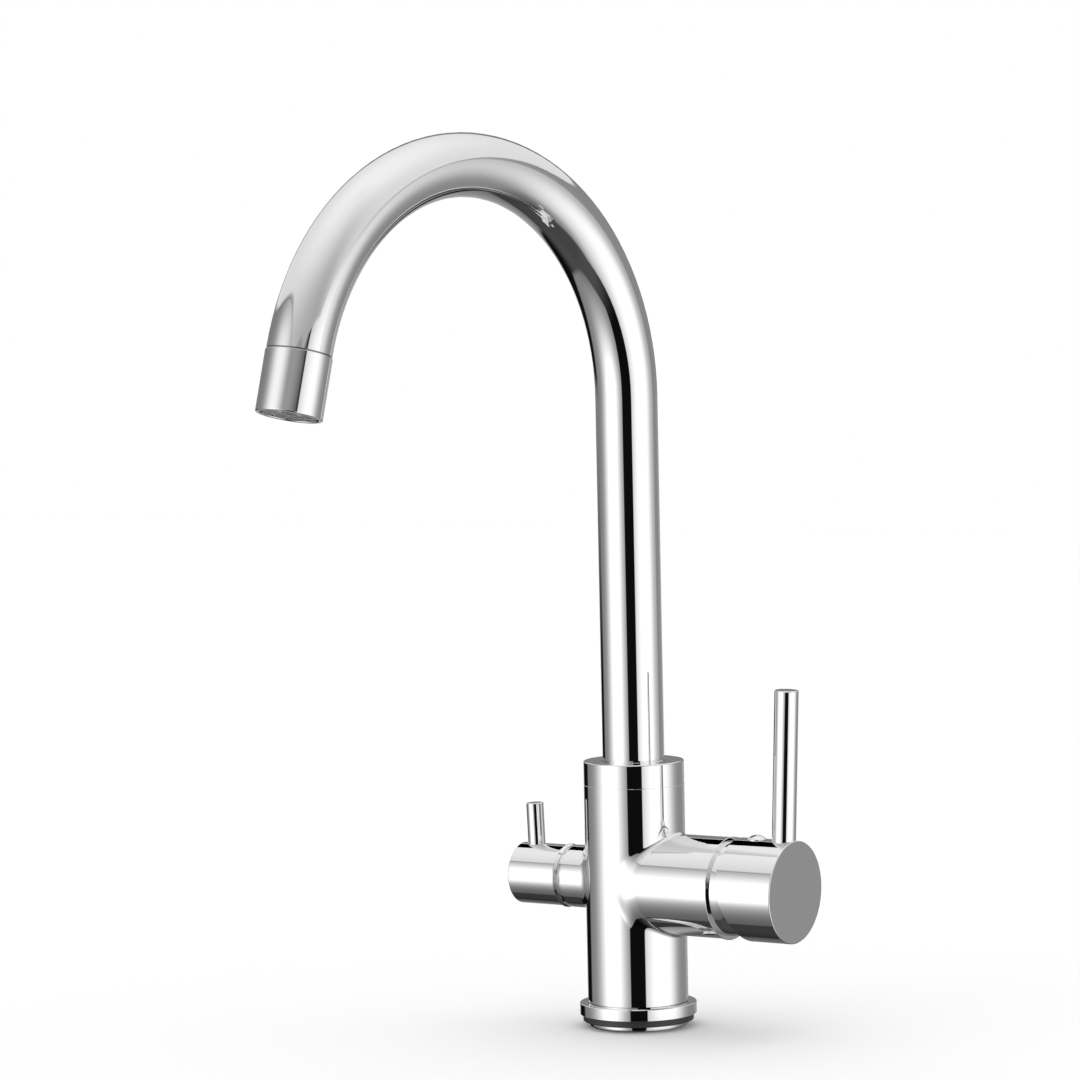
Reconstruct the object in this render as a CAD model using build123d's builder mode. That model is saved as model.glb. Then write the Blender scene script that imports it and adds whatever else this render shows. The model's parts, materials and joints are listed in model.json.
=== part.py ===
from build123d import *
import os
from math import sin, cos, sqrt, radians

# Three way filtered water tap. Millimetres, +Z up.
# Origin: on the axis of the body and riser, in the plane of the body's bottom face.
# +X runs along the mixer arm, -X along the filter valve, the spout reaches towards -Y.

# ---------------------------------------------------------------- dimensions
body_r = 22.785          # body and mixer arm, outside
foot_r = 22.4            # turned foot that carries the base ring and gasket
foot_h = 11.2
body_top = 110.18        # seam between body and top collar
collar_top = 120.94

ring_r = 26.478
ring_z0, ring_z1 = 5.644, 10.903
gasket_r = 25.1
gasket_z0 = 2.6

# spout seat in the body
seat_r = 17.05
seat_z0, seat_z1 = 78.0, 100.0
collar_thread_r = 19.5
flange_r = 18.9
flange_z0, flange_z1 = 101.05, 103.95

# spout
tube_r, tube_ri = 14.0, 12.6
tube_z0 = 84.0
riser_top = 285.10
arch_r = 104.876
arch_a = 165.08          # degrees of arc
spout_psi = -8.57        # spout's heading at rest, degrees from -Y
sleeve_r = 14.32
sleeve_len = 27.39       # from the end of the arc to the mouth
groove = 0.7
mouth_r = 12.45
insert_recess = 4.6

# filtered water's inner tube
inner_r, inner_ri = 4.2, 3.0

# mixer arm
arm_z = 65.487           # height of the mixer arm's axis
arm_end = 51.2
lip_x, lip_r = 50.4, 23.15
cart_seat_x = 20.0
cart_r = 17.5
cart_bore_r = 17.55
nut_thread_r = 19.0
port_r = 3.2
inlet_port = (9.96, 5.0)     # across, up from the arm's axis
outlet_port = (0.0, -9.5)
pivot_x = 45.5           # lever's tilt axis, parallel to Y
cap_cavity_r = 24.75
cap_r = 23.0
cap_x0, cap_face_x = 55.7, 83.99
cap_face_tilt = 0.9      # degrees
relief_slope = 0.3172    # rear edge of the cap's lower half
relief_top = 2.5
rod_r = 5.4
rod_x = 77.57            # where the rod's axis crosses the arm's axis
rod_lean = 2.336
rod_top_z = 155.63
plug_x = 64.4
plug_r = 4.3
stem_half = 4.0
disc_r = 11.6

# filter valve
valve_z = 66.28
boss_r = 14.24
boss_end = -34.4
valve_thread_r = 10.4
valve_bore_r = 9.0
valve_floor = -17.5
handle_r = 13.95
handle_x0, handle_x1 = -36.4, -60.83
pin_r = 3.95
pin_x = -53.07
pin_lean = -2.25
pin_top_z = 98.9

# underside
inlet_pcr = 11.5
inlet_hole_r = 4.5       # tapped M10 x 1
stud_hole_r = 3.4        # tapped M8

# ---------------------------------------------------------------- planes
psi = radians(spout_psi)
head = Vector(sin(psi), -cos(psi), 0)
side = Vector(-cos(psi), -sin(psi), 0)
spout_plane = Plane(origin=(0, 0, 0), x_dir=head, z_dir=side)
end_a = radians(arch_a)
arc_end = head * (arch_r * (1 - cos(end_a))) + Vector(0, 0, riser_top + arch_r * sin(end_a))
arc_end_local = (arch_r * (1 - cos(end_a)), riser_top + arch_r * sin(end_a))
outlet_dir = head * sin(end_a) + Vector(0, 0, cos(end_a))
outlet = Plane(origin=arc_end, x_dir=side, z_dir=outlet_dir)

arm_axis = Axis((0, 0, arm_z), (1, 0, 0))
valve_axis = Axis((0, 0, valve_z), (1, 0, 0))


def arm_at(x):
    return Plane(origin=(x, 0, arm_z), x_dir=(0, 1, 0), z_dir=(1, 0, 0))


def valve_at(x):
    return Plane(origin=(x, 0, valve_z), x_dir=(0, 1, 0), z_dir=(1, 0, 0))


rod_plane = Plane(origin=(rod_x, 0, arm_z), x_dir=(0, 1, 0),
                  z_dir=(sin(radians(rod_lean)), 0, cos(radians(rod_lean))))
pin_plane = Plane(origin=(pin_x, 0, valve_z), x_dir=(0, 1, 0),
                  z_dir=(sin(radians(pin_lean)), 0, cos(radians(pin_lean))))
rod_len = (rod_top_z - arm_z) / cos(radians(rod_lean))
pin_len = (pin_top_z - valve_z) / cos(radians(pin_lean))

inlets = [(inlet_pcr * cos(radians(a)), inlet_pcr * sin(radians(a))) for a in (-60, 60)]
filter_inlet = (-inlet_pcr, 0)

# ---------------------------------------------------------------- fixed body
# T casting: upright body, mixer arm and filter valve boss, with their waterways
with BuildPart() as body_casting:
    with BuildSketch(Plane.XY):
        Circle(body_r)
    extrude(amount=body_top)
    with BuildSketch(arm_at(0)):
        Circle(body_r)
    extrude(amount=arm_end)
    arm_seam = body_casting.edges().filter_by(GeomType.CIRCLE, reverse=True).filter_by(
        GeomType.LINE, reverse=True)
    fillet(arm_seam, 3.0)
    with BuildSketch(valve_at(0)):
        Circle(boss_r)
    extrude(amount=boss_end)
    boss_seam = body_casting.edges().filter_by(GeomType.BSPLINE).filter_by_position(
        Axis.X, -body_r - 1, -10)
    fillet(boss_seam, 3.0)
    # raised lip round the arm's end
    with BuildSketch(arm_at(lip_x)):
        Circle(lip_r)
    extrude(amount=arm_end - lip_x)
    chamfer(body_casting.edges().filter_by(GeomType.CIRCLE).sort_by(Axis.X)[-1], 0.2)
    chamfer(body_casting.edges().filter_by(GeomType.CIRCLE).filter_by_position(
        Axis.X, lip_x - 0.01, lip_x + 0.01).sort_by(SortBy.RADIUS)[-1], 0.15)
    chamfer(body_casting.edges().filter_by(GeomType.CIRCLE).sort_by(Axis.X)[0], 0.25)
    chamfer(body_casting.edges().filter_by(GeomType.CIRCLE).sort_by(Axis.Z)[-1], 0.12)
    # turned foot
    with BuildSketch(Plane.XY):
        Circle(body_r + 5)
        Circle(foot_r, mode=Mode.SUBTRACT)
    extrude(amount=foot_h, mode=Mode.SUBTRACT)
    chamfer(body_casting.edges().filter_by(GeomType.CIRCLE).filter_by_position(
        Axis.Z, foot_h - 0.01, foot_h + 0.01).sort_by(SortBy.RADIUS)[-1], 0.25)
    fillet(body_casting.edges().filter_by(GeomType.CIRCLE).sort_by(Axis.Z)[0], 1.25)
    # seat of the spout bush and the collar's thread
    with BuildSketch(Plane.XY.offset(seat_z0)):
        Circle(seat_r)
    extrude(amount=seat_z1 - seat_z0, mode=Mode.SUBTRACT)
    with BuildSketch(Plane.XY.offset(seat_z1)):
        Circle(collar_thread_r)
    extrude(amount=body_top - seat_z1 + 1, mode=Mode.SUBTRACT)
    # mixer cartridge's bore and the nut's thread
    with BuildSketch(arm_at(cart_seat_x)):
        Circle(cart_bore_r)
    extrude(amount=arm_end - cart_seat_x + 1, mode=Mode.SUBTRACT)
    with BuildSketch(arm_at(42)):
        Circle(nut_thread_r)
    extrude(amount=arm_end - 42 + 1, mode=Mode.SUBTRACT)
    # two blind holes for the cartridge's pegs
    with BuildSketch(arm_at(17.8)):
        with Locations((-13, -3), (13, -3)):
            Circle(1.55)
    extrude(amount=cart_seat_x - 17.8 + 1, mode=Mode.SUBTRACT)
    # hose threads and the stud's thread in the underside
    with BuildSketch(Plane.XY):
        with Locations(inlets[0], inlets[1], filter_inlet):
            Circle(inlet_hole_r)
    extrude(amount=12, mode=Mode.SUBTRACT)
    with BuildSketch(Plane.XY):
        Circle(stud_hole_r)
    extrude(amount=16, mode=Mode.SUBTRACT)
    # hot and cold: up beside the axis, then out to the cartridge's seat
    with BuildSketch(Plane.XY.offset(11)):
        with Locations(inlets[0], inlets[1]):
            Circle(3.5)
    extrude(amount=arm_z + inlet_port[1] - 11, mode=Mode.SUBTRACT)
    with BuildSketch(arm_at(inlets[0][0])):
        with Locations((-inlet_port[0], inlet_port[1]), (inlet_port[0], inlet_port[1])):
            Circle(3.45)
    extrude(amount=cart_seat_x + 1 - inlets[0][0], mode=Mode.SUBTRACT)
    # mixed water: from the cartridge's outlet port to the spout seat
    with BuildSketch(arm_at(11)):
        with Locations(outlet_port):
            Circle(3.45)
    extrude(amount=cart_seat_x + 1 - 11, mode=Mode.SUBTRACT)
    with BuildSketch(Plane.XY.offset(arm_z + outlet_port[1])):
        with Locations((11, 0)):
            Circle(3.5)
    extrude(amount=seat_z0 + 1 - arm_z - outlet_port[1], mode=Mode.SUBTRACT)
    # filter valve: thread, valve chamber, its supply and its outlet to the nipple
    with BuildSketch(valve_at(boss_end - 1)):
        Circle(valve_thread_r)
    extrude(amount=-29 - boss_end + 1, mode=Mode.SUBTRACT)
    with BuildSketch(valve_at(-29.5)):
        Circle(valve_bore_r)
    extrude(amount=valve_floor + 29.5, mode=Mode.SUBTRACT)
    with BuildSketch(valve_at(valve_floor - 1)):
        Circle(3.0)
    extrude(amount=-9.5 - valve_floor + 1, mode=Mode.SUBTRACT)
    with BuildSketch(Plane.XY.offset(11)):
        with Locations(filter_inlet):
            Circle(2.95)
    extrude(amount=valve_z - 11, mode=Mode.SUBTRACT)
    with BuildSketch(Plane(origin=(-25, 0, 74), x_dir=(0, 1, 0), z_dir=(1, 0, 0))):
        Circle(2.5)
    extrude(amount=25, mode=Mode.SUBTRACT)
    with BuildSketch(Plane.XY.offset(73.5)):
        Circle(4.0)
    extrude(amount=5.5, mode=Mode.SUBTRACT)

# loose chrome ring round the foot
with BuildPart() as base_ring:
    with BuildSketch(Plane.XY.offset(ring_z0)):
        Circle(ring_r)
        Circle(foot_r + 0.05, mode=Mode.SUBTRACT)
    extrude(amount=ring_z1 - ring_z0)
    chamfer(base_ring.edges().filter_by(GeomType.CIRCLE).group_by(SortBy.RADIUS)[-1], 0.18)
    chamfer(base_ring.edges().filter_by(GeomType.CIRCLE).group_by(Axis.Z)[-1].sort_by(SortBy.RADIUS)[0], 0.2)

with BuildPart() as base_gasket:
    with BuildSketch(Plane.XY.offset(gasket_z0)):
        Circle(gasket_r)
        Circle(foot_r, mode=Mode.SUBTRACT)
    extrude(amount=ring_z0 - gasket_z0)
    fillet(base_gasket.edges().filter_by(GeomType.CIRCLE).group_by(SortBy.RADIUS)[-1].sort_by(Axis.Z)[0], 0.5)

# chrome collar: screwed spigot below, visible band above
with BuildPart() as top_collar:
    with BuildSketch(Plane.XZ):
        with BuildLine():
            Polyline((14.3, 105.0), (collar_thread_r, 105.0), (collar_thread_r, body_top),
                     (body_r - 0.03, body_top), (body_r - 0.03, collar_top), (14.3, collar_top), close=True)
        make_face()
    revolve(axis=Axis.Z)
    outer = top_collar.edges().filter_by(GeomType.CIRCLE).group_by(SortBy.RADIUS)[-1].sort_by(Axis.Z)
    fillet(outer[-1], 0.6)
    chamfer(top_collar.edges().filter_by(GeomType.CIRCLE).group_by(SortBy.RADIUS)[-1].sort_by(Axis.Z)[0], 0.12)
    chamfer(top_collar.edges().filter_by(GeomType.CIRCLE).group_by(Axis.Z)[-1].sort_by(SortBy.RADIUS)[0], 0.35)

# slip rings below and above the bush's flange
with BuildPart() as slip_rings:
    for z in (100.0, 104.0):
        with BuildSketch(Plane.XY.offset(z)):
            Circle(19.4)
            Circle(17.15, mode=Mode.SUBTRACT)
        extrude(amount=1.0)

# nipple for the filtered water, screwed into the floor of the spout seat
with BuildPart() as filter_nipple:
    with BuildSketch(Plane.XZ):
        with BuildLine():
            Polyline((1.7, 75.0), (4.0, 75.0), (4.0, 78.0), (5.8, 78.0), (5.8, 80.2), (3.6, 80.2),
                     (3.6, 87.3), (2.4, 87.3), (2.4, 88.7), (3.6, 88.7), (3.6, 91.5), (3.1, 92.0),
                     (1.7, 92.0), close=True)
        make_face()
    revolve(axis=Axis.Z)
    with BuildSketch(Plane.XY.offset(78.0)):
        Circle(8)
        RegularPolygon(5.0, 6, major_radius=False, mode=Mode.SUBTRACT)
    extrude(amount=2.2, mode=Mode.SUBTRACT)

with BuildPart() as filter_nipple_o_ring:
    with Locations((0, 0, 88.0)):
        Torus(3.0, 0.6)

# ---------------------------------------------------------------- spout
with BuildPart() as spout_tube:
    with BuildLine(spout_plane) as tube_path:
        Line((0, tube_z0), (0, riser_top))
        CenterArc((arch_r, riser_top), arch_r, 180, -arch_a)
    with BuildSketch(Plane.XY.offset(tube_z0)):
        Circle(tube_r)
        Circle(tube_ri, mode=Mode.SUBTRACT)
    sweep(path=tube_path.wires()[0])

with BuildPart() as spout_bush:
    with BuildSketch(Plane.XZ):
        with BuildLine():
            Polyline((12.6, 80.5), (16.7, 80.5), (17.0, 80.8), (17.0, 86.5), (15.2, 86.5), (15.2, 88.5),
                     (17.0, 88.5), (17.0, 93.5), (15.2, 93.5), (15.2, 95.5), (17.0, 95.5),
                     (17.0, flange_z0), (flange_r, flange_z0), (flange_r, flange_z1), (14.0, flange_z1),
                     (14.0, tube_z0), (12.6, tube_z0), close=True)
        make_face()
    revolve(axis=Axis.Z)

with BuildPart() as spout_o_rings:
    with Locations((0, 0, 87.5), (0, 0, 94.5)):
        Torus(16.1, 0.9)

# socket that turns on the nipple, with a barb for the inner tube
with BuildPart() as filter_tube_socket:
    with BuildSketch(Plane.XZ):
        with BuildLine():
            Polyline((3.65, 81.0), (5.2, 81.0), (5.2, 94.6), (3.0, 94.6), (3.0, 102.0), (2.6, 103.0),
                     (1.9, 103.0), (1.9, 92.6), (3.65, 92.6), close=True)
        make_face()
    revolve(axis=Axis.Z)

# second waterway: the inner tube for filtered water, along the spout's centre line
with BuildPart() as filter_tube:
    with BuildLine(spout_plane) as inner_path:
        Line((0, 95.0), (0, riser_top))
        CenterArc((arch_r, riser_top), arch_r, 180, -arch_a)
        Line(arc_end_local, (arc_end_local[0] + 10.0 * sin(end_a), arc_end_local[1] + 10.0 * cos(end_a)))
    with BuildSketch(Plane.XY.offset(95.0)):
        Circle(inner_r)
        Circle(inner_ri, mode=Mode.SUBTRACT)
    sweep(path=inner_path.wires()[0])

# threaded end brazed into the tube; its collar is the floor of the dark groove
with BuildPart() as nozzle_adapter:
    with BuildSketch(outlet.offset(-3.0)):
        Circle(12.5)
        Circle(10.6, mode=Mode.SUBTRACT)
    extrude(amount=3.0)
    with BuildSketch(outlet):
        Circle(13.5)
        Circle(10.6, mode=Mode.SUBTRACT)
    extrude(amount=groove)
    with BuildSketch(outlet.offset(groove)):
        Circle(12.0)
        Circle(10.6, mode=Mode.SUBTRACT)
    extrude(amount=7.3)

with BuildPart() as nozzle_sleeve:
    with BuildSketch(outlet.offset(groove)):
        Circle(sleeve_r)
    extrude(amount=sleeve_len - groove)
    with BuildSketch(outlet.offset(groove)):
        Circle(12.02)
    extrude(amount=8.0, mode=Mode.SUBTRACT)
    with BuildSketch(outlet.offset(8.5)):
        Circle(mouth_r)
    extrude(amount=sleeve_len, mode=Mode.SUBTRACT)
    rims = nozzle_sleeve.edges().filter_by(GeomType.CIRCLE).sort_by(Axis(arc_end, outlet_dir))
    fillet(rims[-2:], 0.45)
    fillet(nozzle_sleeve.edges().filter_by(GeomType.CIRCLE).group_by(
        Axis(arc_end, outlet_dir))[0].sort_by(SortBy.RADIUS)[-1], 0.2)

with BuildPart() as nozzle_washer:
    with BuildSketch(outlet.offset(8.5)):
        Circle(12.4)
        Circle(9.2, mode=Mode.SUBTRACT)
    extrude(amount=1.5)

face_s = sleeve_len - insert_recess
# dual-flow insert: ring of slots for mixed water round the middle spigot
with BuildPart() as aerator_housing:
    with BuildSketch(outlet.offset(10.0)):
        Circle(12.35)
        Circle(10.4, mode=Mode.SUBTRACT)
    extrude(amount=face_s - 10.0)
    with BuildSketch(outlet.offset(face_s - 3.0)):
        Circle(10.5)
        Circle(5.2, mode=Mode.SUBTRACT)
        with PolarLocations(7.75, 18):
            SlotCenterToCenter(2.6, 1.5, mode=Mode.SUBTRACT)
    extrude(amount=2.4)
    fillet(aerator_housing.edges().filter_by(GeomType.CIRCLE).group_by(
        Axis(arc_end, outlet_dir))[-1].sort_by(SortBy.RADIUS)[-1], 0.4)

# fine strainer plate behind the slots
with BuildPart() as aerator_screen:
    with BuildSketch(outlet.offset(face_s - 3.6)):
        Circle(10.35)
        Circle(5.25, mode=Mode.SUBTRACT)
        with PolarLocations(6.6, 24):
            Circle(0.5, mode=Mode.SUBTRACT)
        with PolarLocations(8.9, 32):
            Circle(0.5, mode=Mode.SUBTRACT)
    extrude(amount=0.5)

# middle spigot: the filtered water leaves here, apart from the mixed water
with BuildPart() as filter_outlet:
    with BuildSketch(outlet.offset(3.5)):
        Circle(3.0)
    extrude(amount=8.0)
    with BuildSketch(outlet.offset(11.0)):
        Circle(5.1)
    extrude(amount=face_s - 11.0 - 0.2)
    with BuildSketch(outlet.offset(3.0)):
        Circle(1.9)
    extrude(amount=face_s, mode=Mode.SUBTRACT)
    with BuildSketch(outlet.offset(face_s - 5.0)):
        Circle(3.6)
    extrude(amount=6.0, mode=Mode.SUBTRACT)

# ---------------------------------------------------------------- mixer cartridge
with BuildPart() as cartridge_base:
    with BuildSketch(arm_at(20.8)):
        Circle(cart_r)
        with Locations((-inlet_port[0], inlet_port[1]), (inlet_port[0], inlet_port[1]), outlet_port):
            Circle(port_r, mode=Mode.SUBTRACT)
    extrude(amount=4.2)
    with BuildSketch(arm_at(18.0)):
        with Locations((-13, -3), (13, -3)):
            Circle(1.5)
    extrude(amount=2.8)

with BuildPart() as cartridge_base_seals:
    with BuildSketch(arm_at(cart_seat_x)):
        with Locations((-inlet_port[0], inlet_port[1]), (inlet_port[0], inlet_port[1]), outlet_port):
            Circle(5.0)
        with Locations((-inlet_port[0], inlet_port[1]), (inlet_port[0], inlet_port[1]), outlet_port):
            Circle(3.6, mode=Mode.SUBTRACT)
    extrude(amount=0.8)

with BuildPart() as cartridge_fixed_disc:
    with BuildSketch(arm_at(25.0)):
        Circle(15.0)
        with Locations((-inlet_port[0], inlet_port[1]), (inlet_port[0], inlet_port[1]), outlet_port):
            Circle(3.0, mode=Mode.SUBTRACT)
    extrude(amount=4.0)

with BuildPart() as cartridge_housing:
    with BuildSketch(Plane.XZ):
        with BuildLine():
            Polyline((25.0, arm_z + 15.05), (25.0, arm_z + cart_r), (46.0, arm_z + cart_r),
                     (46.0, arm_z + 12.5), (48.8, arm_z + 12.5), (48.8, arm_z + 10.3),
                     (41.0, arm_z + 10.3), (41.0, arm_z + 15.05), close=True)
        make_face()
    revolve(axis=arm_axis)

# brass nut that holds the cartridge: thread in the arm, hexagon inside
with BuildPart() as cartridge_nut:
    with BuildSketch(arm_at(46.0)):
        Circle(nut_thread_r)
        Circle(12.6, mode=Mode.SUBTRACT)
    extrude(amount=arm_end - 46.0)
    with BuildSketch(arm_at(arm_end)):
        Circle(18.75)
        Circle(12.6, mode=Mode.SUBTRACT)
    extrude(amount=3.3)
    with BuildSketch(arm_at(50.0)):
        RegularPolygon(14.0, 6, major_radius=False)
    extrude(amount=5.0, mode=Mode.SUBTRACT)

# dome between the arm's end and the cap, inside the cap's spherical hollow
shroud_r, shroud_cx = 21.4, 52.0
shroud_x1 = 60.0
shroud_y0 = sqrt(shroud_r ** 2 - (arm_end - shroud_cx) ** 2)
shroud_y1 = sqrt(shroud_r ** 2 - (shroud_x1 - shroud_cx) ** 2)
shroud_xm = (arm_end + shroud_x1) / 2
shroud_ym = sqrt(shroud_r ** 2 - (shroud_xm - shroud_cx) ** 2)
with BuildPart() as dome_shroud:
    with BuildSketch(Plane.XZ):
        with BuildLine():
            Polyline((shroud_x1, arm_z + shroud_y1), (shroud_x1, arm_z + 13.5), (58.2, arm_z + 13.5),
                     (58.2, arm_z + 17.4), (56.0, arm_z + 18.8), (arm_end, arm_z + 18.8),
                     (arm_end, arm_z + shroud_y0))
            ThreePointArc((arm_end, arm_z + shroud_y0), (shroud_xm, arm_z + shroud_ym),
                          (shroud_x1, arm_z + shroud_y1))
        make_face()
    revolve(axis=arm_axis)

# rotor: turns with the lever, and its two rails carry the disc round with it
with BuildPart() as cartridge_rotor:
    with BuildSketch(arm_at(36.3)):
        Circle(14.9)
    extrude(amount=4.4)
    with BuildSketch(arm_at(40.7)):
        Circle(10.22)
    extrude(amount=8.8)
    with BuildSketch(arm_at(33.2)):
        with Locations((-11.5, 0), (11.5, 0)):
            Rectangle(2.0, 16.0)
    extrude(amount=3.1)
    with BuildSketch(arm_at(36.0)):
        Rectangle(8.3, 12.4)
    extrude(amount=14.0, mode=Mode.SUBTRACT)
    with BuildSketch(Plane(origin=(pivot_x, 12, arm_z), x_dir=(1, 0, 0), z_dir=(0, -1, 0))):
        Circle(1.5)
    extrude(amount=24, mode=Mode.SUBTRACT)

with BuildPart() as stem_pin:
    with BuildSketch(Plane(origin=(pivot_x, 9.4, arm_z), x_dir=(1, 0, 0), z_dir=(0, -1, 0))):
        Circle(1.5)
    extrude(amount=18.8)

with BuildPart() as cartridge_moving_disc:
    with BuildSketch(arm_at(29.05)):
        Circle(disc_r)
    extrude(amount=3.95)
    # pocket that joins the ports
    with BuildSketch(arm_at(29.0)):
        with Locations((0, -2.5)):
            Circle(8.3)
    extrude(amount=2.2, mode=Mode.SUBTRACT)

with BuildPart() as disc_carrier:
    with BuildSketch(arm_at(33.0)):
        Rectangle(20.8, 14.0)
    extrude(amount=3.1)
    fillet(disc_carrier.edges().filter_by(Axis.X), 1.5)
    with BuildSketch(arm_at(32.5)):
        Circle(2.55)
    extrude(amount=4.5, mode=Mode.SUBTRACT)

with BuildPart() as cartridge_stem:
    with BuildSketch(arm_at(42.0)):
        Rectangle(2 * stem_half, 2 * stem_half)
    extrude(amount=28.0)
    fillet(cartridge_stem.edges().filter_by(Axis.X), 0.5)
    with BuildSketch(arm_at(35.0)):
        Circle(1.9)
    extrude(amount=7.0)
    with Locations((35.7, 0, arm_z)):
        Sphere(2.5)
    with BuildSketch(Plane(origin=(pivot_x, 12, arm_z), x_dir=(1, 0, 0), z_dir=(0, -1, 0))):
        Circle(1.55)
    extrude(amount=24, mode=Mode.SUBTRACT)

# ---------------------------------------------------------------- lever
cav_x0, cav_r1 = 55.0, 18.5
cav_y0 = sqrt(cap_cavity_r ** 2 - (cav_x0 - pivot_x) ** 2)
cav_x1 = pivot_x + sqrt(cap_cavity_r ** 2 - cav_r1 ** 2)
cav_xm = (cav_x0 + cav_x1) / 2
cav_ym = sqrt(cap_cavity_r ** 2 - (cav_xm - pivot_x) ** 2)
with BuildPart() as lever_cap:
    with BuildSketch(arm_at(cap_x0)):
        Circle(cap_r)
    extrude(amount=cap_face_x + 2 - cap_x0)
    split(bisect_by=Plane(origin=(cap_face_x, 0, arm_z),
                          z_dir=(cos(radians(cap_face_tilt)), 0, -sin(radians(cap_face_tilt)))),
          keep=Keep.BOTTOM)
    fillet(lever_cap.faces().sort_by(Axis.X)[-1].edges(), 0.45)
    # rear edge of the lower half is cut back, to let the cap tilt
    with BuildSketch(Plane.XZ):
        with BuildLine():
            Polyline((50, arm_z + relief_top), (cap_x0, arm_z + relief_top),
                     (cap_x0 + relief_slope * (relief_top + 26), arm_z - 26), (50, arm_z - 26), close=True)
        make_face()
    extrude(amount=30, both=True, mode=Mode.SUBTRACT)
    # hollow: sphere about the tilt axis, then a round cavity
    with BuildSketch(Plane.XZ):
        with BuildLine():
            Polyline((cav_x1, arm_z + cav_r1), (72, arm_z + cav_r1), (72, arm_z), (cav_x0, arm_z),
                     (cav_x0, arm_z + cav_y0))
            ThreePointArc((cav_x0, arm_z + cav_y0), (cav_xm, arm_z + cav_ym),
                          (cav_x1, arm_z + cav_r1))
        make_face()
    revolve(axis=arm_axis, mode=Mode.SUBTRACT)
    # boss on the stem, and the column round the set screw
    with BuildSketch(arm_at(62.0)):
        Circle(7.5)
    extrude(amount=11.0)
    with BuildSketch(Plane.XY.offset(arm_z + 5.5)):
        with Locations((plug_x, 0)):
            Circle(4.0)
    extrude(amount=14.5)
    with BuildSketch(arm_at(61.0)):
        Rectangle(2 * stem_half + 0.06, 2 * stem_half + 0.06)
    extrude(amount=9.3, mode=Mode.SUBTRACT)
    with BuildSketch(Plane.XY.offset(arm_z + 2)):
        with Locations((plug_x, 0)):
            Circle(2.5)
    extrude(amount=24, mode=Mode.SUBTRACT)
    with BuildSketch(Plane.XY.offset(arm_z + 21.3)):
        with Locations((plug_x, 0)):
            Circle(plug_r + 0.03)
    extrude(amount=4, mode=Mode.SUBTRACT)
    with BuildSketch(rod_plane.offset(13.8)):
        Circle(3.0)
    extrude(amount=12, mode=Mode.SUBTRACT)
    with BuildSketch(rod_plane.offset(21.6)):
        Circle(rod_r + 0.03)
    extrude(amount=4, mode=Mode.SUBTRACT)

with BuildPart() as lever_rod:
    with BuildSketch(rod_plane.offset(21.6)):
        Circle(rod_r)
    extrude(amount=rod_len - 21.6)
    fillet(lever_rod.edges().filter_by(GeomType.CIRCLE).sort_by(Axis.Z)[-1], 0.6)
    with BuildSketch(rod_plane.offset(14.0)):
        Circle(2.98)
    extrude(amount=7.6)

with BuildPart() as lever_set_screw:
    with BuildSketch(Plane.XY.offset(arm_z + 4.03)):
        with Locations((plug_x, 0)):
            Circle(2.48)
    extrude(amount=10.0)
    with BuildSketch(Plane.XY.offset(arm_z + 11.5)):
        with Locations((plug_x, 0)):
            RegularPolygon(1.25, 6, major_radius=False)
    extrude(amount=3.0, mode=Mode.SUBTRACT)

# domed plug over the set screw
plug_dome_r = (plug_r ** 2 + 1.75 ** 2) / (2 * 1.75)
with BuildPart() as index_plug:
    with BuildSketch(Plane.XY.offset(arm_z + 21.35)):
        with Locations((plug_x, 0)):
            Circle(plug_r)
    extrude(amount=4.0)
    with Locations((plug_x, 0, arm_z + 24.75 - plug_dome_r)):
        Sphere(plug_dome_r, mode=Mode.INTERSECT)
    with BuildSketch(Plane.XY.offset(arm_z + 18.6)):
        with Locations((plug_x, 0)):
            Circle(2.4)
    extrude(amount=2.75)

# ---------------------------------------------------------------- filter valve
with BuildPart() as filter_seat_seal:
    with BuildSketch(valve_at(-19.2)):
        Circle(7.6)
        Circle(3.6, mode=Mode.SUBTRACT)
    extrude(amount=1.7)

# thin ring between boss and handle
with BuildPart() as filter_spacer_ring:
    with BuildSketch(Plane.XZ):
        with BuildLine():
            Polyline((-36.15, valve_z + 10.45), (-36.15, valve_z + 14.35), (-35.95, valve_z + 14.55),
                     (-35.70, valve_z + 14.55), (-34.40, valve_z + 13.95), (-34.40, valve_z + 10.45),
                     close=True)
        make_face()
    revolve(axis=valve_axis)

# brass body of the quarter-turn valve: cage, thread, flange and neck
with BuildPart() as filter_bonnet:
    with BuildSketch(Plane.XZ):
        with BuildLine():
            Polyline((-19.2, valve_z + 7.2), (-19.2, valve_z + 8.0), (-29.0, valve_z + 8.0),
                     (-29.0, valve_z + valve_thread_r), (-36.15, valve_z + valve_thread_r),
                     (-36.15, valve_z + 12.0), (-38.6, valve_z + 12.0), (-38.6, valve_z + 6.5),
                     (-44.0, valve_z + 6.5), (-44.0, valve_z + 4.05), (-28.2, valve_z + 4.05),
                     (-28.2, valve_z + 7.2), close=True)
        make_face()
    revolve(axis=valve_axis)
    # windows that let the filtered water out of the cage
    with BuildSketch(Plane(origin=(-26.2, 0, valve_z - 12), x_dir=(1, 0, 0), z_dir=(0, 0, 1))):
        Circle(1.5)
    extrude(amount=24, mode=Mode.SUBTRACT)
    with BuildSketch(Plane(origin=(-26.2, 12, valve_z), x_dir=(1, 0, 0), z_dir=(0, -1, 0))):
        Circle(1.5)
    extrude(amount=24, mode=Mode.SUBTRACT)

with BuildPart() as filter_fixed_disc:
    with BuildSketch(valve_at(-21.2)):
        Circle(7.15)
        with Locations((3.6, 0), (-3.6, 0)):
            Circle(2.0, mode=Mode.SUBTRACT)
    extrude(amount=2.0)

with BuildPart() as filter_moving_disc:
    with BuildSketch(valve_at(-23.25)):
        Circle(7.1)
        with Locations((0, 3.6), (0, -3.6)):
            Circle(2.0, mode=Mode.SUBTRACT)
    extrude(amount=2.0)

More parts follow.
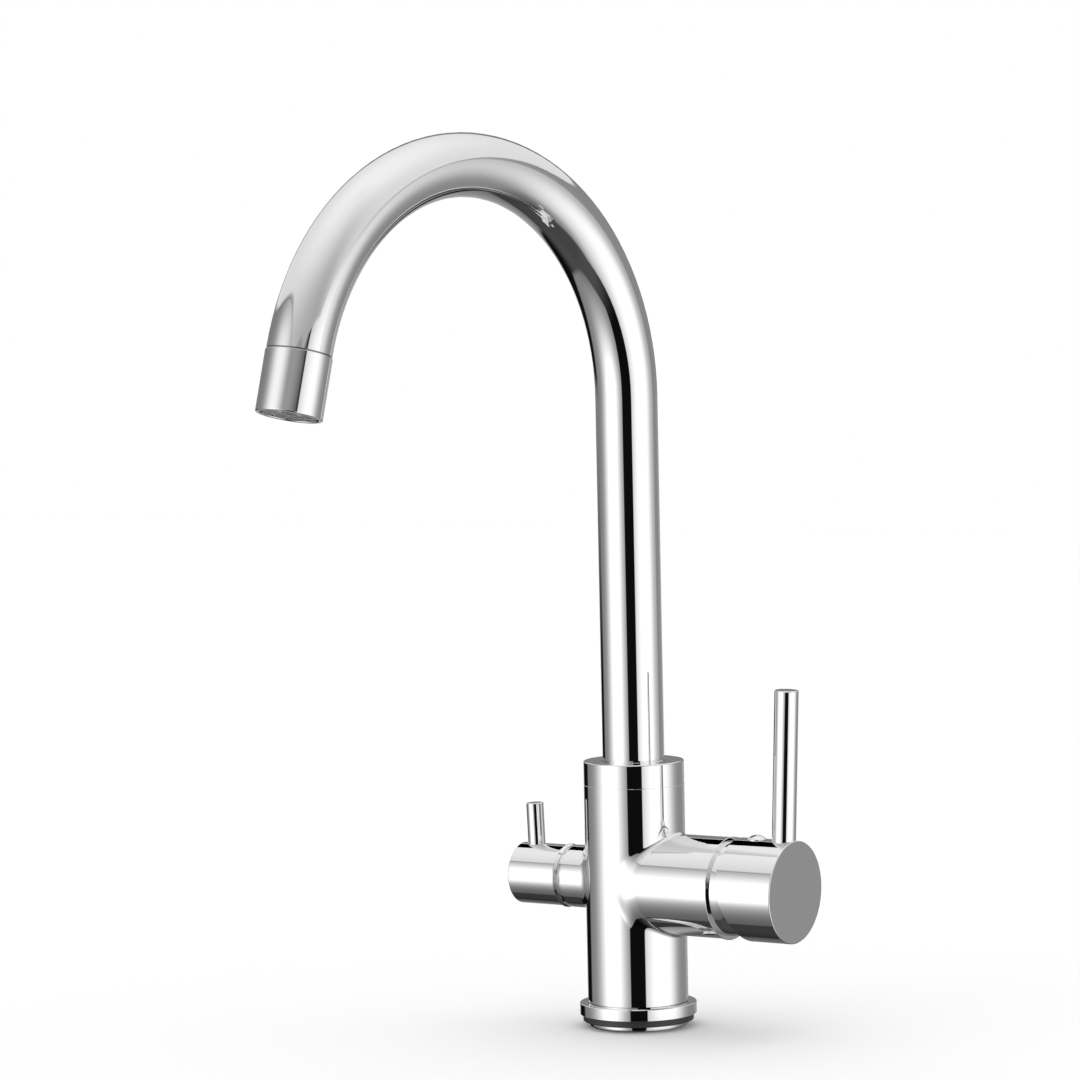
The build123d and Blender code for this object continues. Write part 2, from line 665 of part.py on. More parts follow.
with BuildPart() as filter_spindle:
    with BuildSketch(valve_at(-24.6)):
        Circle(6.9)
        with Locations((0, 5.2), (0, -5.2)):
            Rectangle(5.0, 5.6, mode=Mode.SUBTRACT)
    extrude(amount=1.35)
    with BuildSketch(valve_at(-44.1)):
        Circle(4.0)
    extrude(amount=19.5)
    with BuildSketch(valve_at(-44.9)):
        Circle(3.2)
    extrude(amount=0.8)
    with BuildSketch(valve_at(-52.5)):
        Circle(4.0)
    extrude(amount=7.6)
    # splines on the end that carries the handle
    with BuildSketch(valve_at(-52.5)):
        with PolarLocations(4.0, 20):
            Circle(0.25)
    extrude(amount=6.0, mode=Mode.SUBTRACT)
    # groove of the O-ring
    with BuildSketch(valve_at(-33.7)):
        Circle(5.0)
        Circle(2.9, mode=Mode.SUBTRACT)
    extrude(amount=1.4, mode=Mode.SUBTRACT)

with BuildPart() as filter_spindle_o_ring:
    with Locations(valve_at(-33.0)):
        Torus(3.46, 0.55)

with BuildPart() as filter_spindle_clip:
    with BuildSketch(valve_at(-44.85)):
        Circle(5.6)
        Circle(3.22, mode=Mode.SUBTRACT)
        with Locations((0, -4)):
            Rectangle(4.2, 8, mode=Mode.SUBTRACT)
    extrude(amount=0.7)

with BuildPart() as filter_handle:
    with BuildSketch(valve_at(handle_x1)):
        Circle(handle_r)
    extrude(amount=handle_x0 - handle_x1)
    ends = filter_handle.edges().filter_by(GeomType.CIRCLE).sort_by(Axis.X)
    fillet(ends[0], 0.5)
    chamfer(filter_handle.edges().filter_by(GeomType.CIRCLE).sort_by(Axis.X)[-1], 0.2)
    with BuildSketch(valve_at(-45.6)):
        Circle(12.4)
    extrude(amount=10.0, mode=Mode.SUBTRACT)
    with BuildSketch(valve_at(-53.0)):
        Circle(4.02)
    extrude(amount=8.0, mode=Mode.SUBTRACT)
    # pocket and thread of the pin, and the grub screw's hole underneath
    with BuildSketch(pin_plane.offset(12.6)):
        Circle(pin_r + 0.03)
    extrude(amount=4, mode=Mode.SUBTRACT)
    with BuildSketch(pin_plane.offset(7.0)):
        Circle(2.0)
    extrude(amount=6, mode=Mode.SUBTRACT)
    with BuildSketch(Plane.XY.offset(valve_z - 16)):
        with Locations((-49.0, 0)):
            Circle(2.0)
    extrude(amount=14, mode=Mode.SUBTRACT)

with BuildPart() as filter_handle_pin:
    with BuildSketch(pin_plane.offset(12.6)):
        Circle(pin_r)
    extrude(amount=pin_len - 12.6)
    fillet(filter_handle_pin.edges().filter_by(GeomType.CIRCLE).sort_by(Axis.Z)[-1], 0.6)
    with BuildSketch(pin_plane.offset(7.2)):
        Circle(1.98)
    extrude(amount=5.4)

with BuildPart() as filter_handle_screw:
    with BuildSketch(Plane.XY.offset(valve_z - 10.5)):
        with Locations((-49.0, 0)):
            Circle(1.98)
    extrude(amount=6.4)
    with BuildSketch(Plane.XY.offset(valve_z - 10.5)):
        with Locations((-49.0, 0)):
            RegularPolygon(1.0, 6, major_radius=False)
    extrude(amount=2.0, mode=Mode.SUBTRACT)

# ---------------------------------------------------------------- write the pieces
pieces = {
    "body_casting": body_casting, "base_ring": base_ring, "base_gasket": base_gasket,
    "top_collar": top_collar, "slip_rings": slip_rings, "filter_nipple": filter_nipple,
    "filter_nipple_o_ring": filter_nipple_o_ring,
    "spout_tube": spout_tube, "spout_bush": spout_bush, "spout_o_rings": spout_o_rings,
    "filter_tube_socket": filter_tube_socket, "filter_tube": filter_tube,
    "nozzle_adapter": nozzle_adapter, "nozzle_sleeve": nozzle_sleeve, "nozzle_washer": nozzle_washer,
    "aerator_housing": aerator_housing, "aerator_screen": aerator_screen, "filter_outlet": filter_outlet,
    "cartridge_base": cartridge_base, "cartridge_base_seals": cartridge_base_seals,
    "cartridge_fixed_disc": cartridge_fixed_disc, "cartridge_housing": cartridge_housing,
    "cartridge_nut": cartridge_nut, "dome_shroud": dome_shroud, "cartridge_rotor": cartridge_rotor,
    "stem_pin": stem_pin, "cartridge_moving_disc": cartridge_moving_disc, "disc_carrier": disc_carrier,
    "cartridge_stem": cartridge_stem, "lever_cap": lever_cap, "lever_rod": lever_rod,
    "lever_set_screw": lever_set_screw, "index_plug": index_plug,
    "filter_seat_seal": filter_seat_seal, "filter_spacer_ring": filter_spacer_ring,
    "filter_bonnet": filter_bonnet, "filter_fixed_disc": filter_fixed_disc,
    "filter_moving_disc": filter_moving_disc, "filter_spindle": filter_spindle,
    "filter_spindle_o_ring": filter_spindle_o_ring, "filter_spindle_clip": filter_spindle_clip,
    "filter_handle": filter_handle, "filter_handle_pin": filter_handle_pin,
    "filter_handle_screw": filter_handle_screw,
}
os.makedirs("parts", exist_ok=True)
for name, piece in pieces.items():
    piece.part.label = name
    export_step(piece.part, f"parts/{name}.step")
print(len(pieces), "pieces")
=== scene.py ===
import bpy
import json
import math
import numpy as np
from mathutils import Matrix, Vector
from mathutils.geometry import delaunay_2d_cdt


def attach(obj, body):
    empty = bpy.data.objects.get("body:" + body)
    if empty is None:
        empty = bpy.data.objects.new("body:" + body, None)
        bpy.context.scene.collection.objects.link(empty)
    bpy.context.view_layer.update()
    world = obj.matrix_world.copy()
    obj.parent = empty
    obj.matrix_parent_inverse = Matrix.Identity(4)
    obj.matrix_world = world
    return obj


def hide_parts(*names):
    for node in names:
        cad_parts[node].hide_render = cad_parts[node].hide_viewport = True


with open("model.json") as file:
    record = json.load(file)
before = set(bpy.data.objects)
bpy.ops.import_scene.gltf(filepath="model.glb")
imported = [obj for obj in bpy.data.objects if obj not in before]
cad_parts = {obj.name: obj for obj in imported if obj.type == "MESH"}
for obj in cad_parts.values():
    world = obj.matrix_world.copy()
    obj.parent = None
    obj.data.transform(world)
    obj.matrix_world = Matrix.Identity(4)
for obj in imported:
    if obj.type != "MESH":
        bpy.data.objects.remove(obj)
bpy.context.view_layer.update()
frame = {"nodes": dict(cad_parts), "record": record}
nodes = frame["nodes"]
scene = bpy.context.scene


# ---------------------------------------------------------------- camera
def make_camera():
    phi, e, rho = (math.radians(a) for a in (33.86, 3.76, -1.211))
    back = Vector((math.sin(phi) * math.cos(e), -math.cos(phi) * math.cos(e), math.sin(e)))
    right = Vector((math.cos(phi), math.sin(phi), 0.0))
    up = back.cross(right)
    r2 = right * math.cos(rho) + up * math.sin(rho)
    u2 = up * math.cos(rho) - right * math.sin(rho)
    data = bpy.data.cameras.new("camera")
    data.sensor_width = 36.0
    data.sensor_fit = "HORIZONTAL"
    data.lens = 158.085
    data.clip_start = 0.05
    data.clip_end = 50.0
    cam = bpy.data.objects.new("camera", data)
    scene.collection.objects.link(cam)
    cam.matrix_world = Matrix((
        (r2.x, u2.x, back.x, 1.156105),
        (r2.y, u2.y, back.y, -1.795248),
        (r2.z, u2.z, back.z, 0.361800),
        (0.0, 0.0, 0.0, 1.0)))
    scene.camera = cam


make_camera()


# ---------------------------------------------------------------- node maths
class Maths:
    """Writes sums as Math nodes: every call returns a socket or a number."""

    def __init__(self, tree):
        self.tree = tree

    def put(self, socket, value):
        if isinstance(value, (int, float)):
            socket.default_value = value
        else:
            self.tree.links.new(value, socket)

    def op(self, kind, a, b=None, c=None, clamp=False):
        n = self.tree.nodes.new("ShaderNodeMath")
        n.operation = kind
        n.use_clamp = clamp
        for k, v in enumerate((a, b, c)):
            if v is not None:
                self.put(n.inputs[k], v)
        return n.outputs[0]

    def add(self, a, b):
        return self.op("ADD", a, b)

    def sub(self, a, b):
        return self.op("SUBTRACT", a, b)

    def mul(self, a, b):
        return self.op("MULTIPLY", a, b)

    def step(self, x, lo, hi):
        """0 before lo, 1 after hi, smooth between; lo may be the larger one."""
        n = self.tree.nodes.new("ShaderNodeMapRange")
        n.interpolation_type = "SMOOTHSTEP"
        n.clamp = True
        rising = not (isinstance(lo, (int, float)) and isinstance(hi, (int, float)) and lo > hi)
        self.put(n.inputs["Value"], x)
        self.put(n.inputs["From Min"], lo if rising else hi)
        self.put(n.inputs["From Max"], hi if rising else lo)
        n.inputs["To Min"].default_value = 0.0 if rising else 1.0
        n.inputs["To Max"].default_value = 1.0 if rising else 0.0
        return n.outputs["Result"]

    def edge(self, x, at, soft):
        """smooth step centred on at, where at may be a socket"""
        return self.step(self.sub(x, at), -soft, soft)

    def bell(self, x, centre, low, high, power=2.0):
        """1 at the centre, falling over low on one side and high on the other"""
        d = self.sub(x, centre)
        neg = self.op("DIVIDE", self.op("MAXIMUM", self.mul(d, -1.0), 0.0), low)
        pos = self.op("DIVIDE", self.op("MAXIMUM", d, 0.0), high)
        s = self.op("POWER", self.add(neg, pos), power)
        return self.op("EXPONENT", self.mul(s, -0.5))

    def mix(self, a, b, t):
        """a where t is 0, b where t is 1"""
        return self.add(a, self.mul(t, self.sub(b, a)))


# ---------------------------------------------------------------- studio
def make_studio():
    """A light tent seen only by reflection and as light: two soft boxes with a dark gap on the
    camera's side and one behind, a pale ceiling and a darker bench below."""
    world = bpy.data.worlds.new("studio")
    scene.world = world
    world.use_nodes = True
    t = world.node_tree
    t.nodes.clear()
    m = Maths(t)
    a0 = math.radians(33.3)
    tc = t.nodes.new("ShaderNodeTexCoord")

    def dot(v):
        n = t.nodes.new("ShaderNodeVectorMath")
        n.operation = "DOT_PRODUCT"
        t.links.new(tc.outputs["Generated"], n.inputs[0])
        n.inputs[1].default_value = v
        return n.outputs["Value"]

    x = dot((math.cos(a0), math.sin(a0), 0.0))
    y = dot((math.sin(a0), -math.cos(a0), 0.0))
    z = dot((0.0, 0.0, 1.0))
    deg = 180.0 / math.pi
    az = m.mul(m.op("ARCTAN2", x, y), deg)
    el = m.mul(m.op("ARCSINE", m.op("MINIMUM", m.op("MAXIMUM", z, -1.0), 1.0)), deg)

    def turn(v, about):
        return m.op("WRAP", m.sub(v, about), 180.0, -180.0)

    def less(v):
        return m.sub(1.0, v)

    # bench below, fading into the dark towards the horizon
    light = m.add(0.004, m.mul(m.step(el, -33.0, -72.0), 0.10))

    # rear wall, between two slanting dark gaps
    b = turn(az, 176.0)
    low_fill = m.bell(el, -7.0, 4.5, 4.5, 4.0)
    left = m.sub(m.sub(m.mul(el, 0.34), 7.0), m.mul(low_fill, 9.5))
    right = m.add(m.mul(el, -0.23), 18.7)
    wall = m.add(0.44, m.mul(el, 0.006))
    on = m.mul(m.mul(m.edge(b, left, 2.5), less(m.edge(b, right, 2.5))), m.step(el, -50.0, -43.0))
    light = m.mix(light, wall, on)

    # left soft box
    glow = m.mul(m.bell(az, -57.0, 25.0, 21.0, 2.3), m.bell(el, 0.0, 25.5, 24.0, 2.3))
    card = m.add(0.205, m.mul(glow, 1.12))
    d = m.add(az, 69.0)
    low = m.add(-64.5, m.mul(m.mul(d, d), 0.0074))
    far = m.add(m.mul(el, -0.2), -134.0)
    near = m.add(-16.8, m.mul(m.step(el, 0.0, 4.0), 14.5))
    on = m.mul(m.mul(m.edge(az, far, 4.0), less(m.edge(az, near, 1.2))), m.edge(el, low, 2.5))
    light = m.mix(light, card, on)

    # right soft box
    glow = m.mul(m.bell(az, 60.0, 36.5, 28.8, 2.9), m.bell(el, -5.0, 40.0, 18.0, 2.4))
    card = m.add(m.add(0.235, m.mul(glow, 0.88)), m.mul(m.mul(low_fill, m.step(az, 135.0, 160.0)), 0.14))
    d = m.sub(az, 78.0)
    low = m.add(-74.0, m.mul(m.mul(d, d), 0.0037))
    near = m.add(17.5, m.mul(m.op("MAXIMUM", el, 0.0), 1.08))
    far = m.add(162.0, m.mul(el, 0.34))
    on = m.mul(m.mul(m.edge(az, near, 0.9), less(m.edge(az, far, 2.5))), m.edge(el, low, 4.0))
    light = m.mix(light, card, on)

    # low wall over the rear gap, and haze over the front one
    b = turn(az, -150.0)
    on = m.mul(m.mul(m.step(b, -48.0, -34.0), m.step(b, 30.0, 12.0)), m.step(el, -5.6, -2.2))
    light = m.mix(light, 0.20, on)
    on = m.mul(m.mul(m.step(az, -30.0, -10.0), m.step(az, 34.0, 22.0)), m.step(el, 10.0, 22.0))
    light = m.mix(light, 0.30, on)

    # ceiling, shaded on the camera's side
    shade = m.mul(m.bell(az, 36.0, 77.0, 20.0, 2.1), m.bell(el, 20.0, 20.0, 31.0, 1.9))
    ceiling = m.sub(m.sub(0.865, m.mul(shade, 0.33)), m.mul(m.step(el, 75.0, 20.0), 0.15))
    rim = m.op("MAXIMUM", m.mul(m.bell(az, -68.0, 48.0, 45.0), 39.0), m.mul(m.bell(az, 110.0, 60.0, 60.0, 4.0), 20.0))
    rim = m.op("MAXIMUM", rim, m.add(6.0, m.mul(m.bell(az, 12.0, 50.0, 42.0, 4.0), 12.5)))
    rim = m.op("MAXIMUM", rim, m.mul(m.bell(az, -5.0, 35.0, 24.0, 4.0), 24.0))
    rim = m.op("MAXIMUM", rim, m.mul(m.bell(turn(az, 180.0), 0.0, 17.0, 17.0, 4.0), 26.0))
    light = m.mix(light, ceiling, m.edge(el, rim, 0.8))
    # seam along the top of the left wall
    seam = m.mul(m.bell(m.sub(el, rim), 0.0, 1.1, 1.1, 4.0), m.bell(az, -75.0, 36.0, 36.0, 4.0))
    light = m.mul(light, m.sub(1.0, m.mul(seam, 0.32)))

    light = m.mul(light, 1.0 / 0.86)

    col = t.nodes.new("ShaderNodeCombineColor")
    for k in range(3):
        t.links.new(light, col.inputs[k])
    studio = t.nodes.new("ShaderNodeBackground")
    t.links.new(col.outputs[0], studio.inputs["Color"])
    studio.inputs["Strength"].default_value = 1.0
    plain = t.nodes.new("ShaderNodeBackground")
    plain.inputs["Color"].default_value = (1.0, 1.0, 1.0, 1.0)
    plain.inputs["Strength"].default_value = 1.0
    path = t.nodes.new("ShaderNodeLightPath")
    t.links.new(m.add(1.0, m.mul(path.outputs["Is Diffuse Ray"], 0.5)), studio.inputs["Strength"])
    mix = t.nodes.new("ShaderNodeMixShader")
    t.links.new(path.outputs["Is Camera Ray"], mix.inputs[0])
    t.links.new(studio.outputs[0], mix.inputs[1])
    t.links.new(plain.outputs[0], mix.inputs[2])
    out = t.nodes.new("ShaderNodeOutputWorld")
    t.links.new(mix.outputs[0], out.inputs["Surface"])


make_studio()
scene.view_settings.view_transform = "Standard"
scene.view_settings.look = "None"
scene.view_settings.exposure = 0.0
scene.view_settings.gamma = 1.0


# ---------------------------------------------------------------- floor
def make_floor():
    me = bpy.data.meshes.new("floor")
    s = 3.0
    me.from_pydata([(-s, -s, 0), (s, -s, 0), (s, s, 0), (-s, s, 0)], [], [(0, 1, 2, 3)])
    ob = bpy.data.objects.new("floor", me)
    scene.collection.objects.link(ob)
    mat = bpy.data.materials.new("floor")
    mat.use_nodes = True
    t = mat.node_tree
    b = t.nodes["Principled BSDF"]
    b.inputs["Base Color"].default_value = (0.93, 0.93, 0.93, 1.0)
    b.inputs["Roughness"].default_value = 0.9
    b.inputs["Specular IOR Level"].default_value = 0.1
    me.materials.append(mat)
    ob.visible_glossy = False
    return ob


make_floor()


def reflection_only(ob):
    ob.visible_camera = False
    ob.visible_diffuse = False
    ob.visible_shadow = False
    ob.visible_transmission = False
    ob.visible_volume_scatter = False


def make_cards():
    """Two cards that only reflections see: a dark flag behind the tap, edge-on to the top of the
    spout, and a see-through card over the bench round the tap with painted shade, darker close to it."""
    a = math.radians(33.3 - 170.0)
    away = Vector((math.sin(a), -math.cos(a), math.tan(math.radians(12.0))))
    side = Vector((-math.cos(a), -math.sin(a), 0.0))
    start = Vector((-0.09, 0.0, 0.395))
    corners = ((0.205, 0.130), (0.310, -0.100), (0.950, 0.030), (0.740, 0.300))
    me = bpy.data.meshes.new("slot_card")
    me.from_pydata([tuple(start + away * u + side * v) for u, v in corners], [], [(0, 1, 2, 3)])
    ob = bpy.data.objects.new("slot_card", me)
    scene.collection.objects.link(ob)
    mat = bpy.data.materials.new("slot_card")
    mat.use_nodes = True
    b = mat.node_tree.nodes["Principled BSDF"]
    b.inputs["Base Color"].default_value = (0.0, 0.0, 0.0, 1.0)
    b.inputs["Specular IOR Level"].default_value = 0.0
    b.inputs["Roughness"].default_value = 1.0
    me.materials.append(mat)
    reflection_only(ob)

    ps = [(0.36 * math.cos(2 * math.pi * k / 64), 0.36 * math.sin(2 * math.pi * k / 64), -0.035) for k in range(64)]
    me = bpy.data.meshes.new("bench_shade_card")
    me.from_pydata(ps, [], [tuple(range(64))])
    ob = bpy.data.objects.new("bench_shade_card", me)
    scene.collection.objects.link(ob)
    mat = bpy.data.materials.new("bench_shade_card")
    mat.use_nodes = True
    t = mat.node_tree
    t.nodes.clear()
    m = Maths(t)
    tc = t.nodes.new("ShaderNodeTexCoord")
    ln = t.nodes.new("ShaderNodeVectorMath")
    ln.operation = "LENGTH"
    t.links.new(tc.outputs["Object"], ln.inputs[0])
    # painted shade: the bench seen in reflections is darker close to the tap, full brightness from 0.34 m out
    v = m.add(0.54, m.mul(m.step(ln.outputs["Value"], 0.12, 0.34), 0.46))
    col = t.nodes.new("ShaderNodeCombineColor")
    for k in range(3):
        t.links.new(v, col.inputs[k])
    tr = t.nodes.new("ShaderNodeBsdfTransparent")
    t.links.new(col.outputs[0], tr.inputs["Color"])
    out = t.nodes.new("ShaderNodeOutputMaterial")
    t.links.new(tr.outputs[0], out.inputs["Surface"])
    me.materials.append(mat)
    reflection_only(ob)


make_cards()


# ---------------------------------------------------------------- materials
def new_material(name):
    mat = bpy.data.materials.new(name)
    mat.use_nodes = True
    t = mat.node_tree
    t.nodes.clear()
    out = t.nodes.new("ShaderNodeOutputMaterial")
    b = t.nodes.new("ShaderNodeBsdfPrincipled")
    t.links.new(b.outputs[0], out.inputs["Surface"])
    tc = t.nodes.new("ShaderNodeTexCoord")
    return mat, t, b, tc.outputs["Object"]


def noise(t, vec, scale, detail=2.0, rough=0.5, distortion=0.0):
    n = t.nodes.new("ShaderNodeTexNoise")
    n.inputs["Scale"].default_value = scale
    n.inputs["Detail"].default_value = detail
    n.inputs["Roughness"].default_value = rough
    n.inputs["Distortion"].default_value = distortion
    t.links.new(vec, n.inputs["Vector"])
    return n.outputs["Fac"]


def span(t, fac, lo, hi, fmin=0.0, fmax=1.0):
    n = t.nodes.new("ShaderNodeMapRange")
    n.inputs["From Min"].default_value = fmin
    n.inputs["From Max"].default_value = fmax
    n.inputs["To Min"].default_value = lo
    n.inputs["To Max"].default_value = hi
    t.links.new(fac, n.inputs["Value"])
    return n.outputs["Result"]


def tint(t, fac, a, b):
    n = t.nodes.new("ShaderNodeMix")
    n.data_type = "RGBA"
    t.links.new(fac, n.inputs["Factor"])
    n.inputs[6].default_value = (*a, 1.0)
    n.inputs[7].default_value = (*b, 1.0)
    return n.outputs[2]


def bump(t, height, strength, distance, b):
    n = t.nodes.new("ShaderNodeBump")
    n.inputs["Strength"].default_value = strength
    n.inputs["Distance"].default_value = distance
    t.links.new(height, n.inputs["Height"])
    t.links.new(n.outputs["Normal"], b.inputs["Normal"])


def make_chrome():
    mat, t, b, vec = new_material("chrome")
    b.inputs["Metallic"].default_value = 1.0
    fine = noise(t, vec, 900.0, 3.0, 0.6)
    broad = noise(t, vec, 45.0, 2.0, 0.5)
    t.links.new(tint(t, broad, (0.845, 0.845, 0.850), (0.865, 0.865, 0.870)), b.inputs["Base Color"])
    t.links.new(span(t, fine, 0.012, 0.030, 0.3, 0.7), b.inputs["Roughness"])
    return mat


def make_rubber():
    mat, t, b, vec = new_material("rubber")
    grain = noise(t, vec, 2500.0, 4.0, 0.6)
    broad = noise(t, vec, 120.0, 3.0, 0.5)
    t.links.new(tint(t, broad, (0.030, 0.030, 0.031), (0.048, 0.047, 0.047)), b.inputs["Base Color"])
    t.links.new(span(t, grain, 0.32, 0.46), b.inputs["Roughness"])
    bump(t, grain, 0.25, 0.00005, b)
    return mat


def make_brass():
    mat, t, b, vec = new_material("brass")
    b.inputs["Metallic"].default_value = 1.0
    broad = noise(t, vec, 160.0, 3.0, 0.55)
    fine = noise(t, vec, 1800.0, 2.0, 0.5)
    t.links.new(tint(t, broad, (0.66, 0.48, 0.22), (0.76, 0.58, 0.30)), b.inputs["Base Color"])
    t.links.new(span(t, fine, 0.20, 0.36), b.inputs["Roughness"])
    bump(t, fine, 0.15, 0.00003, b)
    return mat


def make_plastic(name, a, c, rough):
    mat, t, b, vec = new_material(name)
    broad = noise(t, vec, 90.0, 3.0, 0.5)
    fine = noise(t, vec, 2200.0, 3.0, 0.6)
    t.links.new(tint(t, broad, a, c), b.inputs["Base Color"])
    t.links.new(span(t, fine, rough - 0.06, rough + 0.06), b.inputs["Roughness"])
    bump(t, fine, 0.2, 0.00003, b)
    return mat


def make_steel():
    mat, t, b, vec = new_material("steel")
    b.inputs["Metallic"].default_value = 1.0
    fine = noise(t, vec, 2600.0, 3.0, 0.6)
    broad = noise(t, vec, 140.0, 2.0, 0.5)
    t.links.new(tint(t, broad, (0.55, 0.55, 0.56), (0.64, 0.64, 0.65)), b.inputs["Base Color"])
    t.links.new(span(t, fine, 0.20, 0.34), b.inputs["Roughness"])
    return mat


def make_groove_shade_plate():
    """thin plating over threads and grooves, greyer than the polished outside: duller plating, darkened further as
    painted shade of the narrow gaps they sit in
    """
    mat, t, b, vec = new_material("dull_plate")
    b.inputs["Metallic"].default_value = 1.0
    broad = noise(t, vec, 160.0, 3.0, 0.55)
    fine = noise(t, vec, 1800.0, 2.0, 0.5)
    # dark grey base colour: partly duller plating, partly painted shade of the narrow gaps
    t.links.new(tint(t, broad, (0.20, 0.20, 0.20), (0.28, 0.28, 0.28)), b.inputs["Base Color"])
    t.links.new(span(t, fine, 0.22, 0.34), b.inputs["Roughness"])
    return mat


made = {
    "chrome": make_chrome(),
    "dull_plate": make_groove_shade_plate(),
    "rubber": make_rubber(),
    "brass": make_brass(),
    "white_plastic": make_plastic("white_plastic", (0.78, 0.78, 0.76), (0.84, 0.84, 0.82), 0.38),
    "grey_plastic": make_plastic("grey_plastic", (0.050, 0.050, 0.053), (0.075, 0.074, 0.076), 0.42),
    "pale_grey_plastic": make_plastic("pale_grey_plastic", (0.36, 0.36, 0.365), (0.42, 0.42, 0.42), 0.5),
    "ceramic": make_plastic("ceramic", (0.84, 0.82, 0.77), (0.89, 0.87, 0.83), 0.22),
    "steel": make_steel(),
}
slot_of = {s["node"]: s["material_slot"] for s in frame["record"]["subparts"]}
# the nozzle adapter gets the darker plate, whose dark grey is painted shade of the gap round the nozzle
looks = {**slot_of, "nozzle_adapter": "dull_plate", "aerator_housing": "pale_grey_plastic",
         "filter_outlet": "pale_grey_plastic"}
for name, ob in nodes.items():
    mat = made[looks[name]]
    if not ob.material_slots:
        ob.data.materials.append(mat)
    for s in ob.material_slots:
        s.material = mat

# ---------------------------------------------------------------- body casting
# The casting is polished over where the mixer arm and the valve boss leave it: the seams have
# no fixed radius, they widen and fade out towards the front and back of the body. The visible
# skin is built here as one smooth blend; bores, chamfers, foot and top stay the CAD's.
BODY_R, ARM_Z, BOSS_R, VALVE_Z = 22.785, 65.487, 14.24, 66.28      # mm
SHOULDER = 0.5         # how far the polishing has rounded the end of the boss, mm


def soft_min(a, b, k):
    h = np.maximum(k - np.abs(a - b), 0.0) / k
    return np.minimum(a, b) - 0.25 * k * h * h


def arm_width(p):
    """width of the arm's seam, mm: wider low at the front and back, where the wheel has run over it"""
    x, z = p[..., 0], p[..., 2] - ARM_Z
    up = 1.6 + 1.2 * np.exp(-((x - 9.0) / 6.0) ** 2)
    low = 1.6 + 3.2 * np.exp(-((x - 10.5) / 5.5) ** 2)
    t = np.clip(z / 10.0 + 0.5, 0.0, 1.0)
    t = t * t * (3.0 - 2.0 * t)
    f = np.clip(x / 9.0, 0.0, 1.0)
    f = 0.03 + 0.97 * f * f * (3.0 - 2.0 * f)
    return (low + (up - low) * t) * f


def field(p):
    """distance-like field of the casting's skin, 0 on it, p in mm"""
    x, y, z = p[..., 0], p[..., 1], p[..., 2]
    d_body = np.hypot(x, y) - BODY_R
    tail = 2.2 * np.minimum(x, 0.0)
    d_arm = np.sqrt(y * y + (z - ARM_Z) ** 2 + tail * tail) - BODY_R
    round_off = SHOULDER * np.clip((-32.6 - x) / 1.55, 0.0, 1.5) ** 2
    d_boss = np.sqrt(y * y + (z - VALVE_Z) ** 2 + np.maximum(x, 0.0) ** 2) - BOSS_R + round_off
    return soft_min(soft_min(d_body, d_arm, arm_width(p)), d_boss, 2.6)


def slope(p):
    g = np.empty_like(p)
    for k in range(3):
        d = np.zeros(3)
        d[k] = 0.002
        g[..., k] = field(p + d) - field(p - d)
    return g / np.linalg.norm(g, axis=-1, keepdims=True)


def upright(a, z, r):
    """point at angle a round the body's axis, height z, radius r"""
    return np.stack((r * np.cos(a), r * np.sin(a), z + 0.0 * a), -1)


def lying(axis_z):
    """the same round a level axis: angle from the front, upwards, and place along X"""
    def at(a, x, r):
        return np.stack((x + 0.0 * a, -r * np.cos(a), axis_z + r * np.sin(a)), -1)
    return at


def skin_at(at, a, s, r0):
    """points of the skin along the rays of that axis, by bisection"""
    lo = np.full(a.shape, r0 - 0.5)
    hi = np.full(a.shape, r0 + 6.0)
    for _ in range(44):
        mid = 0.5 * (lo + hi)
        out = field(at(a, s, mid)) > 0.0
        hi = np.where(out, mid, hi)
        lo = np.where(out, lo, mid)
    return at(a, s, 0.5 * (lo + hi))


def inside(pts, loop):
    """which of pts lie inside a closed polygon"""
    res = np.zeros(len(pts), bool)
    x, y = pts[:, 0], pts[:, 1]
    a = loop
    b = np.roll(loop, -1, axis=0)
    for (x0, y0), (x1, y1) in zip(a, b):
        if y0 == y1:
            continue
        hit = (y0 > y) != (y1 > y)
        res ^= hit & (x < (x1 - x0) * (y - y0) / (y1 - y0) + x0)
    return res


def gap(pts, lines):
    """distance from pts to the nearest point of some polylines"""
    best = np.full(len(pts), 1e9)
    for line in lines:
        for k in range(0, len(line), 64):
            seg = line[k:k + 64]
            d = np.linalg.norm(pts[:, None, :] - seg[None, :, :], axis=2).min(axis=1)
            best = np.minimum(best, d)
    return best


def fill(outer, holes, seams, step_a, step_s):
    """triangles of the unrolled region between outer and holes, finer near the seams.
    Gives (extra points, triangles over outer + holes + extra)."""
    loops = [outer] + holes
    fixed = np.concatenate(loops)
    lo, hi = outer.min(axis=0), outer.max(axis=0)
    clouds = []
    for near, far, da, ds in ((0.0, 3.0, 0.45, 0.45), (3.0, 8.0, 0.9, 0.9), (8.0, 15.0, step_a, 1.8),
                              (15.0, 1e9, step_a, step_s)):
        ga = np.arange(lo[0] + 0.5 * da, hi[0], da)
        gs = np.arange(lo[1] + 0.5 * ds, hi[1], ds)
        g = np.stack(np.meshgrid(ga, gs), -1).reshape(-1, 2)
        d = gap(g, seams)
        g, d = g[(d >= near) & (d < far)], d[(d >= near) & (d < far)]
        own = gap(g, [fixed])
        g = g[own > 0.55 * da]
        ok = inside(g, outer)
        for h in holes:
            ok &= ~inside(g, h)
        clouds.append(g[ok])
    extra = np.concatenate(clouds)
    pts = np.concatenate((fixed, extra))
    edges, k = [], 0
    for loop in loops:
        n = len(loop)
        edges += [(k + i, k + (i + 1) % n) for i in range(n)]
        k += n
    out = delaunay_2d_cdt([Vector((float(a), float(b))) for a, b in pts], edges, [], 0, 1e-7)
    ids = [o[0] for o in out[3]]
    tris = np.array([[ids[v] for v in f] for f in out[2]])
    mid = pts[tris].mean(axis=1)
    ok = inside(mid, outer)
    for h in holes:
        ok &= ~inside(mid, h)
    return extra, tris[ok]


